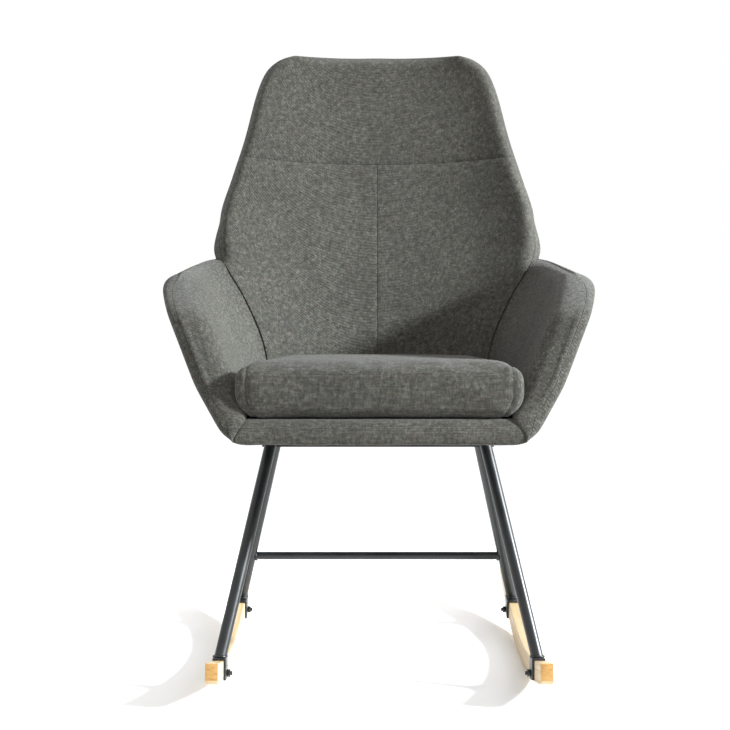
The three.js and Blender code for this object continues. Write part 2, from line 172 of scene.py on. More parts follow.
def mixColour(tree, share, first, second, how="MIX"):
    node = tree.nodes.new("ShaderNodeMix")
    node.data_type = "RGBA"
    node.blend_type = how
    for socket, value in ((node.inputs[0], share), (node.inputs[6], first), (node.inputs[7], second)):
        if isinstance(value, (int, float)):
            socket.default_value = value
        elif isinstance(value, tuple):
            socket.default_value = (*value, 1)
        else:
            tree.links.new(value, socket)
    return node.outputs[2]


def addBump(tree, height, distance, strength, under=None):
    node = tree.nodes.new("ShaderNodeBump")
    node.inputs["Distance"].default_value = distance
    node.inputs["Strength"].default_value = strength
    tree.links.new(height, node.inputs["Height"])
    if under is not None:
        tree.links.new(under, node.inputs["Normal"])
    return node.outputs["Normal"]


woolLook = {
    "dark": (0.0260, 0.0250, 0.0208), "middle": (0.0610, 0.0590, 0.0505), "light": (0.1220, 0.1180, 0.1030),
    "brown": (0.066, 0.046, 0.029), "green": (0.043, 0.058, 0.043), "blot": 150,
    "fine": 430, "run": 72, "pitch": 0.0016,
    # seam is the colour of the painted shade along seam grooves; seamHalf sets its half width and the last
    # key how much of it is laid on
    "seam": (0.008, 0.008, 0.007), "seamHalf": 0.0005, "seamShade": 0.42,
    "rough": 0.93, "sheen": 0.12,
}


# grey woven cloth. Threads run along all three directions; seams are distances stored on the mesh, and
# painted shade darkens the colour along each seam's groove
def woolWeave(name, seams=(), tone=1.0, deep=1.0):
    material, tree, shader = startMaterial(name)
    look = woolLook
    fine, run = look["fine"], look["run"]
    threads = [addNoise(tree, scale, 2.0, 0.6) for scale in
               ((fine, fine, run), (run, fine, fine), (fine, run, fine))]
    depth = calc(tree, "MULTIPLY", threads[2], deep)
    mixed = calc(tree, "ADD", calc(tree, "ADD", threads[0], threads[1]), depth)
    blots = calc(tree, "MULTIPLY", addNoise(tree, (look["blot"],) * 3, 2.0, 0.65), 1.5)
    speck = calc(tree, "MULTIPLY", calc(tree, "ADD", mixed, blots), 1 / (3.5 + deep))
    colour = ramp(tree, speck, [(0.38, look["dark"]), (0.5, look["middle"]), (0.62, look["light"])])
    tint = addNoise(tree, (310, 310, 150), 1.0)
    colour = mixColour(tree, mapRange(tree, tint, 0.56, 0.72, 0, 0.55), colour, look["brown"])
    otherTint = addNoise(tree, (150, 190, 310), 1.0)
    colour = mixColour(tree, mapRange(tree, otherTint, 0.58, 0.74, 0, 0.5), colour, look["green"])
    broad = addNoise(tree, (7, 7, 5), 3.0)
    shade = ramp(tree, broad, [(0.3, (0.86 * tone,) * 3), (0.7, (1.1 * tone, 1.1 * tone, 1.08 * tone))])
    colour = mixColour(tree, 1.0, colour, shade, "MULTIPLY")
    split = tree.nodes.new("ShaderNodeSeparateXYZ")
    tree.links.new(objectPlace(tree), split.inputs[0])
    turns = 2 * math.pi / look["pitch"]
    waves = [calc(tree, "SINE", calc(tree, "MULTIPLY", split.outputs[k], turns)) for k in range(3)]
    weave = calc(tree, "ADD", calc(tree, "ADD", waves[0], waves[1]), waves[2])
    colour = mixColour(tree, mapRange(tree, weave, -1.8, 1.2, 0.30, 0.0), colour, look["dark"])
    height = calc(tree, "ADD", calc(tree, "MULTIPLY", weave, 0.18), speck)
    for seam in seams:
        mark = tree.nodes.new("ShaderNodeAttribute")
        mark.attribute_name = seam
        away = calc(tree, "ABSOLUTE", mark.outputs["Fac"])
        line = mapRange(tree, away, look["seamHalf"] * 0.5, look["seamHalf"] * 1.8, 1.0, 0.0)
        # painted shade: the seam's groove is darkened in the colour, as if in its own shadow
        colour = mixColour(tree, calc(tree, "MULTIPLY", line, look["seamShade"]), colour, look["seam"])
        height = calc(tree, "SUBTRACT", height, calc(tree, "MULTIPLY", line, 0.8))
        # short puckers along the stitching
        pucker = addNoise(tree, (110, 110, 110), 0.0)
        near = mapRange(tree, away, 0.001, 0.012, 0.25, 0.0)
        height = calc(tree, "ADD", height, calc(tree, "MULTIPLY", pucker, near))
    tree.links.new(colour, shader.inputs["Base Color"])
    tree.links.new(addBump(tree, height, 0.0011, 0.75), shader.inputs["Normal"])
    rough = mapRange(tree, speck, 0.3, 0.7, look["rough"] + 0.05, look["rough"] - 0.06)
    tree.links.new(rough, shader.inputs["Roughness"])
    shader.inputs["Sheen Weight"].default_value = look["sheen"]
    shader.inputs["Sheen Roughness"].default_value = 0.45
    shader.inputs["Specular IOR Level"].default_value = 0.25
    return material


steelLook = {
    "base": (0.0045, 0.0055, 0.006), "worn": (0.012, 0.0135, 0.0145), "rough": (0.30, 0.44),
    "peel": 900, "drift": 26,
}


def satinSteel(name, look=steelLook, metal=0.0):
    material, tree, shader = startMaterial(name)
    drift = addNoise(tree, (look["drift"],) * 3, 4.0, 0.6)
    peel = addNoise(tree, (look["peel"],) * 3, 1.0)
    tree.links.new(ramp(tree, drift, [(0.35, look["base"]), (0.75, look["worn"])]),
                   shader.inputs["Base Color"])
    tree.links.new(mapRange(tree, drift, 0.3, 0.75, *look["rough"]), shader.inputs["Roughness"])
    tree.links.new(addBump(tree, peel, 0.0004, 0.22), shader.inputs["Normal"])
    shader.inputs["Metallic"].default_value = metal
    shader.inputs["Specular IOR Level"].default_value = 0.5
    return material


beechLook = {
    "pale": (0.56, 0.42, 0.235), "deep": (0.43, 0.29, 0.14), "fleck": (0.27, 0.155, 0.065),
    "endPale": (0.46, 0.255, 0.075), "endDeep": (0.33, 0.165, 0.045),
    "rings": 210, "along": 3.2,
}


# distance from the rocker's centre, and the run along its arc, from the object's own coordinates
def arcPlace(tree, centre):
    split = tree.nodes.new("ShaderNodeSeparateXYZ")
    tree.links.new(objectPlace(tree), split.inputs[0])
    behind = calc(tree, "SUBTRACT", split.outputs[1], centre[1])
    under = calc(tree, "SUBTRACT", centre[2], split.outputs[2])
    squares = calc(tree, "ADD", calc(tree, "MULTIPLY", behind, behind), calc(tree, "MULTIPLY", under, under))
    return split.outputs[0], calc(tree, "SQRT", squares), calc(tree, "ARCTAN2", behind, under)


def beechWood(name, centre, endGrain=False):
    material, tree, shader = startMaterial(name)
    look = beechLook
    across, rise, turn = arcPlace(tree, centre)
    join = tree.nodes.new("ShaderNodeCombineXYZ")
    rings = look["rings"]
    tree.links.new(calc(tree, "MULTIPLY", across, rings * 0.6), join.inputs[0])
    tree.links.new(calc(tree, "MULTIPLY", rise, rings * 1.4), join.inputs[1])
    tree.links.new(calc(tree, "MULTIPLY", turn, look["along"]), join.inputs[2])
    grain = tree.nodes.new("ShaderNodeTexNoise")
    grain.inputs["Scale"].default_value = 1.0
    grain.inputs["Detail"].default_value = 4.0
    grain.inputs["Roughness"].default_value = 0.62
    tree.links.new(join.outputs[0], grain.inputs["Vector"])
    figure = grain.outputs["Fac"]
    pale, deep = (look["endPale"], look["endDeep"]) if endGrain else (look["pale"], look["deep"])
    colour = ramp(tree, figure, [(0.33, deep), (0.5, pale), (0.8, tuple(min(1, c * 1.08) for c in pale))])
    joinFleck = tree.nodes.new("ShaderNodeCombineXYZ")
    tree.links.new(calc(tree, "MULTIPLY", across, 1400), joinFleck.inputs[0])
    tree.links.new(calc(tree, "MULTIPLY", rise, 1400), joinFleck.inputs[1])
    tree.links.new(calc(tree, "MULTIPLY", turn, 1400 if endGrain else 170), joinFleck.inputs[2])
    flecks = tree.nodes.new("ShaderNodeTexNoise")
    flecks.inputs["Scale"].default_value = 1.0
    flecks.inputs["Detail"].default_value = 1.0
    tree.links.new(joinFleck.outputs[0], flecks.inputs["Vector"])
    fleck = mapRange(tree, flecks.outputs["Fac"], 0.60, 0.72, 0.0, 0.45)
    colour = mixColour(tree, fleck, colour, look["fleck"])
    tree.links.new(colour, shader.inputs["Base Color"])
    rough = mapRange(tree, figure, 0.3, 0.7, 0.52, 0.36)
    tree.links.new(rough, shader.inputs["Roughness"])
    height = calc(tree, "SUBTRACT", figure, calc(tree, "MULTIPLY", fleck, 0.5))
    tree.links.new(addBump(tree, height, 0.0004, 0.35), shader.inputs["Normal"])
    shader.inputs["Coat Weight"].default_value = 0.12
    shader.inputs["Coat Roughness"].default_value = 0.3
    return material


def plyWood(name):
    material, tree, shader = startMaterial(name)
    layers = addNoise(tree, (30, 30, 700), 2.0)
    colour = ramp(tree, layers, [(0.35, (0.45, 0.30, 0.16)), (0.65, (0.64, 0.47, 0.28))])
    tree.links.new(colour, shader.inputs["Base Color"])
    tree.links.new(addBump(tree, layers, 0.0004, 0.3), shader.inputs["Normal"])
    tree.links.new(mapRange(tree, layers, 0.3, 0.7, 0.8, 0.6), shader.inputs["Roughness"])
    return material


def dustCloth(name):
    material, tree, shader = startMaterial(name)
    fibres = addNoise(tree, (500, 500, 500), 3.0, 0.7)
    folds = addNoise(tree, (14, 9, 10), 3.0)
    colour = ramp(tree, fibres, [(0.35, (0.006, 0.006, 0.006)), (0.7, (0.028, 0.028, 0.028))])
    tree.links.new(colour, shader.inputs["Base Color"])
    height = calc(tree, "ADD", calc(tree, "MULTIPLY", fibres, 0.15), calc(tree, "MULTIPLY", folds, 2.0))
    tree.links.new(addBump(tree, height, 0.002, 0.6), shader.inputs["Normal"])
    tree.links.new(mapRange(tree, fibres, 0.3, 0.7, 0.98, 0.85), shader.inputs["Roughness"])
    return material


shellPlace = {"height": 361.0, "shift": -5.0, "tilt": math.radians(2), "baseShift": -27.1432}

shellSize = {
    "railHeight": 36.0, "railInner": 180.0, "seatFront": -345.0, "armRake": 0.36, "armSpread": 0.42,
    "rearSpread": 0.13, "hemLow": 5.2, "footRise": 592.0,  # footRise: height gained per share at the foot
    "armRear": 262.0, "armFront": 226.0, "armCorner": 24.0, "cornerShare": 0.2, "armBulge": 6.0,
    "backRoot": 98.0, "recline": 0.29, "bottomWall": 42.0, "wall": 56.0, "wallRise": 80.0,
    "crown": 20.0, "crownShare": 0.15, "hollowPower": 2.2, "flatTurn": 0.15,
    "edge": [(166, 17.3), (180, 125), (212, 203), (248, 268), (254, 340), (237, 403),
             (217, 471), (201, 541), (190, 576), (179, 596), (160, 611), (137, 617)],
    "joinRow": 3, "jointBelow": 0.05, "jointAbove": 0.034,
    "hollow": [(0, 35), (130, 45), (262, 62), (430, 52), (617, 40)],
}
joinShare = shellSize["joinRow"] / (len(shellSize["edge"]) - 1)


# from the shell's millimetres to metres in the chair's frame
def toWorld(points):
    points = np.asarray(points, float)
    x, y, z = points[..., 0], points[..., 1], points[..., 2]
    c, s = math.cos(shellPlace["tilt"]), math.sin(shellPlace["tilt"])
    back = y * c + z * s + shellPlace["shift"] + shellPlace["baseShift"]
    return np.stack([x, back, -y * s + z * c + shellPlace["height"]], axis=-1) / 1000


# the back's half width and height along its edge: a smooth curve, carried straight on below 0
def edgeAt(up):
    up = np.asarray(up, float)
    rows = np.array(shellSize["edge"], float)
    last = len(rows) - 1
    run = np.clip(up, 0, 1) * last
    k = np.minimum(run.astype(int), last)
    t = (run - k)[..., None]
    p0, p1 = rows[np.maximum(k - 1, 0)], rows[k]
    p2, p3 = rows[np.minimum(k + 1, last)], rows[np.minimum(k + 2, last)]
    v0, v1 = (p2 - p0) / 2, (p3 - p1) / 2
    curve = (2 * p1 - 2 * p2 + v0 + v1) * t ** 3 + (-3 * p1 + 3 * p2 - 2 * v0 - v1) * t ** 2 + v0 * t + p1
    start = (rows[1] - rows[0]) / 2 * last
    return curve + np.minimum(up, 0)[..., None] * start


def wallAt(z, up):
    s = shellSize
    full = s["bottomWall"] + (s["wall"] - s["bottomWall"]) * np.clip(z / s["wallRise"], 0, 1)
    return full - s["crown"] * np.maximum(0, (up - 1 + s["crownShare"]) / s["crownShare"]) ** 2


def backSurface(across, up):
    s = shellSize
    edge = edgeAt(up)
    half, z = edge[..., 0], edge[..., 1]
    table = np.array(s["hollow"], float)
    hollow = np.interp(z, table[:, 0], table[:, 1])
    side = np.abs(across)
    y = s["backRoot"] + s["recline"] * (z - s["railHeight"]) - hollow * side ** s["hollowPower"]
    free = np.maximum(0, (up - joinShare) * (len(s["edge"]) - 1))
    turn = np.maximum(s["flatTurn"], 1 - free)
    slope = s["hollowPower"] * hollow * side ** (s["hollowPower"] - 1) / half
    point = np.stack([across * half, y, z], axis=-1)
    outward = np.stack([turn * slope * np.sign(across), np.ones_like(y), np.zeros_like(y)], axis=-1)
    outward /= np.linalg.norm(outward, axis=-1, keepdims=True)
    # the wall thins where the arm's top runs into the back
    fade = np.where(up < joinShare, s["jointBelow"], s["jointAbove"])
    joint = np.clip(1 - np.abs(up - joinShare) / fade, 0, 1) ** 2 * side ** 10
    return point, outward, wallAt(z, up) - s["crown"] * joint


# the right arm. along runs from the seam with the back to the front edge
def armSurface(along, up):
    s = shellSize
    seam, seamOut = backSurface(np.ones_like(along), up * joinShare)[:2]
    corner = s["armCorner"] * np.maximum(0, (along - 1 + s["cornerShare"]) / s["cornerShare"]) ** 2
    z = seam[..., 2] - ((s["armRear"] - s["armFront"]) * along + corner) * np.maximum(up, 0) ** 2
    frontX = s["railInner"] + s["armSpread"] * (z - s["railHeight"])
    frontY = s["seatFront"] + s["armRake"] * z
    bendX = np.maximum(frontX, seam[..., 0]) + s["armBulge"]
    bendY = seam[..., 1] - (bendX - seam[..., 0]) * seamOut[..., 0] / seamOut[..., 1]
    a, b, c = (1 - along) ** 2, 2 * along * (1 - along), along ** 2
    x = a * seam[..., 0] + b * bendX + c * frontX
    y = a * seam[..., 1] + b * bendY + c * frontY
    headX = (1 - along) * (bendX - seam[..., 0]) + along * (frontX - bendX)
    headY = (1 - along) * (bendY - seam[..., 1]) + along * (frontY - bendY)
    length = np.hypot(headX, headY)
    outward = np.stack([-headY / length, headX / length, np.zeros_like(x)], axis=-1)
    return np.stack([x, y, z], axis=-1), outward, wallAt(z, up)


# draws the arm's front top corner in to a rounded one, for shares near 1
def roundedShares(along, up):
    look = armLook
    reach = look["corner"]
    a = np.clip(1 - (1 - along) * look["columns"] / reach, 0, 1)
    b = np.clip(1 - (1 - up) * look["rows"] / reach, 0, 1)
    newA, newB = a * np.sqrt(1 - b * b / 2), b * np.sqrt(1 - a * a / 2)
    return along + (newA - a) * reach / look["columns"], up + (newB - b) * reach / look["rows"]


# shortest distance from each point to a line through many points
def distanceTo(points, line):
    flat = points.reshape(-1, 3)
    best = np.full(len(flat), 1e9)
    for start, end in zip(line[:-1], line[1:]):
        step = end - start
        share = np.clip(((flat - start) @ step) / max(step @ step, 1e-9), 0, 1)
        best = np.minimum(best, np.linalg.norm(flat - start - share[:, None] * step, axis=1))
    return best.reshape(points.shape[:-1])


# 0 away from an edge, 1 at it, along a quarter of an ellipse
def roundOff(distance, reach):
    return 1 - np.sqrt(np.maximum(0, 1 - (1 - np.clip(distance / reach, 0, 1)) ** 2))


# values from low to high at about a step, with closer ones where marks ask for them
def packed(low, high, step, marks):
    values = list(np.linspace(low, high, max(2, int(round((high - low) / step)) + 1)))
    for place, offsets in marks:
        reach = max(abs(o) for o in offsets) + step * 0.5
        values = [v for v in values if abs(v - place) > reach or v in (low, high)]
        values += [place + o for o in offsets if low - 1e-9 <= place + o <= high + 1e-9]
    values = sorted(set(round(v, 6) for v in values))
    return np.array(values)


wallLook = {
    "innerReach": 17.0, "innerDeep": 33.0,  # the big soft roll on the sitter's side
    "outerReach": 9.0, "outerDeep": 12.0,
    "seamReach": 4.0, "seamDeep": 1.0,  # where the back meets an arm
    "hemRise": 24.0, "hemDeep": 34.0, "hemRear": 4.0,  # the roll under the seat, in front and behind
    "mitre": 0.6, "bandLoops": 5, "bandCrown": 2.2,
}
edgeOffsets = [0, 0.6, 1.6, 3.2, 5.4, 8.2, 12, 17, 24]  # closer rows beside a free edge


# how deep the roll under the seat is: ahead is 1 at the front of the arms and 0 behind
def hemDepth(ahead):
    return wallLook["hemRear"] + (wallLook["hemDeep"] - wallLook["hemRear"]) * ahead ** 6


# a closed upholstered wall round a surface: soft roll, boxing band and outer cover
def wallPiece(name, points, outward, wall, free, seam, lean, groove, marks, ahead):
    look = wallLook
    z = points[..., 2]
    low = np.maximum(0, shellSize["railHeight"] - z)
    innerBase = (lean + look["mitre"]) * low
    hem = hemDepth(ahead) * roundOff(z, look["hemRise"])
    outerBase = wall - np.where(z < look["hemRise"], hem, 0)
    thick = np.maximum(outerBase - innerBase, 1.5)
    fade = np.clip((z - 32) / 45, 0.12, 1)
    innerDeep = np.minimum(look["innerDeep"] * fade, 0.56 * thick)
    outerDeep = np.minimum(look["outerDeep"], 0.3 * thick)
    crease = roundOff(seam, look["seamReach"])
    inner = innerBase + np.maximum(innerDeep * roundOff(free, look["innerReach"]),
                                   np.minimum(look["seamDeep"], 0.3 * thick) * crease) + groove
    outer = innerBase + thick - np.maximum(outerDeep * roundOff(free, look["outerReach"]),
                                           np.minimum(look["seamDeep"] * 0.6, 0.2 * thick) * crease)
    outer = np.maximum(outer, inner + 0.8)
    nv, nu = wall.shape
    grid = np.arange(nv * nu).reshape(nv, nu)
    rim = np.concatenate([grid[0, :], grid[1:, -1], grid[-1, -2::-1], grid[-2:0:-1, 0]])
    innerPoints = (points + outward * inner[..., None]).reshape(-1, 3)
    outerPoints = (points + outward * outer[..., None]).reshape(-1, 3)
    # which way the surface ends at each rim point, for the band's crown
    away = np.zeros_like(points)
    away[0, :] += points[0, :] - points[1, :]
    away[-1, :] += points[-1, :] - points[-2, :]
    away[:, 0] += points[:, 0] - points[:, 1]
    away[:, -1] += points[:, -1] - points[:, -2]
    away = away.reshape(-1, 3)[rim]
    away /= np.linalg.norm(away, axis=1, keepdims=True)
    isFree = (free.reshape(-1)[rim] < 0.5)[:, None]
    loops = look["bandLoops"]
    verts = [innerPoints]
    for k in range(1, loops + 1):
        share = k / (loops + 1)
        bulge = look["bandCrown"] * math.sin(math.pi * share) * isFree
        verts.append(innerPoints[rim] * (1 - share) + outerPoints[rim] * share + away * bulge)
    verts.append(outerPoints)
    count = nv * nu
    rings = [rim] + [count + k * len(rim) + np.arange(len(rim)) for k in range(loops)]
    rings.append(rim + count + loops * len(rim))
    faces = []
    outerStart = count + loops * len(rim)
    for j in range(nv - 1):
        for i in range(nu - 1):
            a, b, c, d = grid[j, i], grid[j, i + 1], grid[j + 1, i + 1], grid[j + 1, i]
            faces.append((a, b, c, d))
            faces.append((d + outerStart, c + outerStart, b + outerStart, a + outerStart))
    for ringA, ringB in zip(rings[:-1], rings[1:]):
        for k in range(len(rim)):
            n = (k + 1) % len(rim)
            faces.append((ringA[n], ringA[k], ringB[k], ringB[n]))
    obj = meshObject(name, toWorld(np.vstack(verts)), [tuple(int(v) for v in f) for f in faces])
    # seam distances in metres, carried by the mesh; far away where a seam has no business. The cloth paints
    # shade along them
    away = 0.5
    thickRim = (outer - inner).reshape(-1)[rim]
    order = np.argsort(rim)
    width = np.interp(np.arange(count), rim[order], thickRim[order])
    for mark, values in marks.items():
        kind, field = values
        inside = field.reshape(-1) / 1000 if kind == "inner" else np.full(count, away)
        band = np.full(loops * len(rim), away)
        outside = np.full(count, away)
        if kind == "girth":  # distance round the edge from a line at a set share of the band
            inside = (-free.reshape(-1) - field * width) / 1000
            for k in range(loops):
                value = ((k + 1) / (loops + 1) - field) * thickRim / 1000
                band[k * len(rim):(k + 1) * len(rim)] = np.where(isFree[:, 0], value, away)
            outside = (free.reshape(-1) + (1 - field) * width) / 1000
        if kind == "edge":  # a line on the sitter's side, at a set distance from the free edge
            inside = (free.reshape(-1) - field) / 1000
            band[:] = -0.004
        giveAttribute(obj, mark, np.concatenate([inside, band, outside]))
    smooth = obj.modifiers.new("smooth", "SUBSURF")
    smooth.levels = smooth.render_levels = 1
    applyModifiers(obj)
    return obj


# slow unevenness of stretched cloth over foam, between -1 and 1
def ripple(points, size, seed):
    flat = points.reshape(-1, 3) / size
    values = [noise.noise(Vector((p[0] + seed, p[1], p[2]))) for p in flat]
    return np.array(values).reshape(points.shape[:-1])


backLook = {
    "half": 212.0, "top": 617.0, "step": 8.5, "seamEnds": 441.0, "seamMiddle": 430.0, "dipReach": 90.0,
    "crossSeam": 1.0, "centreSeam": 0.7,
    "pillow": 2.2, "edgeSeam": 2.0, "ripple": 0.9,
}


def buildBack():
    look = backLook
    centreOffsets = [-14, -9, -5.5, -3, -1.4, 0, 1.4, 3, 5.5, 9, 14]
    half, top = look["half"], look["top"]
    columns = packed(-half, half, look["step"], [
        (-half, edgeOffsets), (half, [-o for o in edgeOffsets]), (0, centreOffsets)]) / half
    seamZ = look["seamEnds"]
    seamOffsets = [-16, -10, -6, -3.2, -1.5, 0, 1.5, 3.2, 6, 10, 16]
    heights = packed(shellSize["hemLow"], top, look["step"], [
        (top, [-o for o in edgeOffsets]), (seamZ, seamOffsets), (shellSize["railHeight"], [-12, -6, 0, 6])])
    # rows bend down to follow the cross seam, which dips in the middle
    across, rowZ = np.meshgrid(columns, heights)
    shares = np.linspace(-0.03, 1, 4000)  # along the edge curve
    dip = (look["seamEnds"] - look["seamMiddle"]) * (1 - across ** 2)
    pull = np.exp(-((rowZ - seamZ) / look["dipReach"]) ** 2)
    up = np.interp(rowZ - dip * pull, edgeAt(shares)[:, 1], shares)
    up[-1, :] = 1
    points, outward, wall = backSurface(across, up)

    def sideLine(sign, low, high, count):
        return backSurface(np.full(count, sign), np.linspace(low, high, count))[0]

    crown = backSurface(np.linspace(-1, 1, 80), np.ones(80))[0]
    free = np.minimum(distanceTo(points, sideLine(-1.0, joinShare, 1, 90)),
                      distanceTo(points, sideLine(1.0, joinShare, 1, 90)))
    free = np.minimum(free, distanceTo(points, crown))
    seam = np.minimum(distanceTo(points, sideLine(-1.0, -0.03, joinShare - 0.01, 50)),
                      distanceTo(points, sideLine(1.0, -0.03, joinShare - 0.01, 50)))
    crossAway = rowZ - seamZ
    centreAway = points[..., 0]
    belowSeam = np.clip((seamZ + 0.5 - rowZ) / 1.0, 0, 1)
    groove = look["crossSeam"] * np.exp(-(crossAway / 3.2) ** 2)
    groove += look["pillow"] * np.exp(-np.abs(crossAway) / 26)
    groove += belowSeam * look["centreSeam"] * np.exp(-(centreAway / 3.0) ** 2)
    groove += look["ripple"] * ripple(points, 75, 3.1) * np.clip(free / 30, 0, 1)
    groove *= np.clip(free / 10, 0, 1)
    centreMark = np.where(belowSeam > 0.5, centreAway, 500)
    obj = wallPiece("back_upholstery", points, outward, wall, free, seam, shellSize["recline"], groove, {
        "seamAcross": ("inner", crossAway), "seamCentre": ("inner", centreMark),
        "seamEdge": ("edge", look["edgeSeam"])}, 0.0)
    finishPiece(obj, woolWeave("grey_weave_back", ["seamAcross", "seamCentre", "seamEdge"]),
                "chair", ["back_pad", "back_cover"])


armLook = {"columns": 400.0, "rows": 250.0, "corner": 92.0, "step": 8.5, "bandSeam": 0.82, "ripple": 1.0}


def buildArm(sideName, sign):
    look = armLook
    long, tall = look["columns"], look["rows"]
    columns = packed(0.8, long, look["step"], [(long, [-o for o in edgeOffsets]),
                                               (0.8, [0, 1.5, 4, 8, 13])]) / long
    foot = shellSize["hemLow"] - shellSize["edge"][0][1]
    lowest = foot / shellSize["footRise"] / joinShare * tall
    rows = packed(lowest, tall, look["step"], [(tall, [-o for o in edgeOffsets]),
                                              (0.0, [-12, -6, 0, 8, 18])]) / tall
    along, up = np.meshgrid(columns, rows)
    points, outward, wall = armSurface(*roundedShares(along, up))
    front = armSurface(*roundedShares(np.ones(120), np.linspace(lowest / tall, 1, 120)))[0]
    top = armSurface(*roundedShares(np.linspace(0, 1, 160), np.ones(160)))[0]
    free = np.minimum(distanceTo(points, front), distanceTo(points, top))
    back = armSurface(np.full(60, 0.002), np.linspace(lowest / tall, 0.97, 60))[0]
    seam = distanceTo(points, back)
    lean = shellSize["rearSpread"] + (shellSize["armSpread"] - shellSize["rearSpread"]) * along
    groove = look["ripple"] * ripple(points, 70, 9.7) * np.clip(free / 30, 0, 1) * np.clip(seam / 30, 0, 1)
    # a shallow pull towards the seam with the back
    groove += 2.2 * np.exp(-seam / 22) * np.clip(free / 20, 0, 1)
    points = points * np.array([sign, 1, 1])
    outward = outward * np.array([sign, 1, 1])
    obj = wallPiece(f"arm_upholstery_{sideName}", points, outward, wall, free, seam, lean, groove, {
        "seamBoxing": ("girth", look["bandSeam"])}, along)
    finishPiece(obj, armWeave, "chair", [f"arm_pad_{sideName}", f"arm_cover_{sideName}"])


hemLook = {
    # distance out from the wall line and height, round the section, at the sides and the back
    "heights": [35.9, 34.8, 31, 26, 20, 14, 9, 6, 4, 2.6, 1.4, 0.6, 0.1, 0, 1, 12, 28, 36.1],
    "front": [10, 5.5, 1.8, 0, -1.2, -1.2, 0, 1.0, 2.0, 3.2, 4.8, 7, 10, 20, 24, 25, 25, 23],
    "thick": 24.0, "wave": 1.3, "waveLength": 42.0, "waveDeep": 0.8,
    "counts": (46, 58, 64),  # points along each arm, the back and the front
    "cornerSharp": 14, "outside": 14, "footIn": 9.0, "topIn": 6.0, "innerOut": -3.0,
}


# how far out from the wall's line at the rail's height the hem stands, at a height
def hemOut(z, side, ahead):
    look = wallLook
    low = shellSize["railHeight"] - z
    hem = hemDepth(ahead) * roundOff(z, look["hemRise"])
    curve = wallAt(z, 0.0) - hem - side * low
    return min(look["mitre"] * low, curve) - 0.4


def buildHem():
    look, s = hemLook, shellSize
    armCount, backCount, frontCount = look["counts"]
    railUp = (s["railHeight"] - s["edge"][0][1]) / s["footRise"] / joinShare
    alongs = 1 - np.linspace(0, 1, armCount)
    acrosses = np.linspace(1, -1, backCount + 2)[1:-1]
    armLine, armOut = armSurface(alongs, np.full(armCount, railUp))[:2]
    backLine, backOut = backSurface(acrosses, np.full(backCount, railUp * joinShare))[:2]
    mirror = np.array([-1, 1, 1])
    line = np.vstack([armLine, backLine, (armLine * mirror)[::-1]])
    out = np.vstack([armOut, backOut, (armOut * mirror)[::-1]])
    armLean = s["rearSpread"] + (s["armSpread"] - s["rearSpread"]) * alongs
    lean = np.concatenate([armLean, np.full(backCount, s["recline"]), armLean[::-1]])
    ahead = np.concatenate([alongs, np.zeros(backCount), alongs[::-1]])
    frontNear = ahead ** look["cornerSharp"]
    rings = []
    heights = look["heights"]
    for k, (z, inset) in enumerate(zip(heights, look["front"])):
        if k < look["outside"]:
            offset = np.array([hemOut(z, *pair) for pair in zip(lean, ahead)])
            if k == look["outside"] - 1:
                offset -= look["footIn"]
        else:
            offset = np.full(len(lean), -look["thick"])
            if k == len(heights) - 1:
                offset += look["topIn"]
        ring = line + out * offset[:, None]
        frontY = s["seatFront"] + s["armRake"] * z + inset
        ring[:, 1] += (frontY - ring[:, 1]) * frontNear
        ring[:, 2] = z
        start, end = ring[-1], ring[0]
        shares = np.linspace(0, 1, frontCount + 2)[1:-1][:, None]
        rail = start * (1 - shares) + end * shares
        rail[:, 1] = frontY
        bottom = math.exp(-z / 10)
        wave = np.array([noise.noise(Vector((x / look["waveLength"], 2.3, 0))) for x in rail[:, 0]])
        rail[:, 2] += look["wave"] * wave * bottom
        rail[:, 1] += look["waveDeep"] * wave * (1 - bottom)
        rail[:, 2] = np.maximum(rail[:, 2], 0.0)
        rings.append(np.vstack([ring, rail]))
    count = len(rings[0])
    faces = []
    for k in range(len(rings)):
        for i in range(count):
            n, m = (i + 1) % count, (k + 1) % len(rings)
            faces.append((k * count + i, k * count + n, m * count + n, m * count + i))
    obj = meshObject("seat_hem", toWorld(np.vstack(rings)), faces)
    smooth = obj.modifiers.new("smooth", "SUBSURF")
    smooth.levels = smooth.render_levels = 1
    applyModifiers(obj)
    finishPiece(obj, woolWeave("grey_weave_hem"), "chair", ["front_rail_pad", "seat_skirt"])
    inner = line + out * look["innerOut"]
    return np.vstack([inner, np.linspace(inner[-1], inner[0], 20)[1:-1]])


# a flat padded panel: the outline drawn in towards the middle, at a height for each share
def loopPanel(name, outline, shares, heights):
    centre = outline.mean(axis=0)
    rings = []
    for share, z in zip(shares, heights):
        ring = centre + (outline - centre) * share
        ring[:, 2] = z
        rings.append(ring)
    count = len(outline)
    faces = []
    for k in range(len(rings) - 1):
        for i in range(count):
            n = (i + 1) % count
            faces.append((k * count + i, k * count + n, (k + 1) * count + n, (k + 1) * count + i))
    points = np.vstack(rings)
    for k in (0, len(rings) - 1):
        points = np.vstack([points, [centre[0], centre[1], heights[k]]])
        middle = len(points) - 1
        for i in range(count):
            n = (i + 1) % count
            faces.append((k * count + i, k * count + n, middle))
    return meshObject(name, toWorld(points), faces)


deckLook = {"top": 35.6, "low": 17.7, "front": -308.0}


def buildDeck(inner):
    look = deckLook
    outline = inner.copy()
    outline[:, 1] = np.maximum(outline[:, 1], look["front"])
    t, low = look["top"], look["low"]
    shares = [0.15, 0.5, 0.8, 0.94, 0.985, 1.0]
    heights = [t, t, t - 0.2, t - 0.8, t - 2.5, t - 5.5, low + 3, low + 0.6, low, low, low, low]
    obj = loopPanel("seat_deck", outline, shares + shares[::-1], heights)
    finishPiece(obj, woolWeave("grey_weave_deck", (), 0.9), "chair", ["seat_deck_pad"])


dustLook = {"front": -326.0, "share": 0.985}


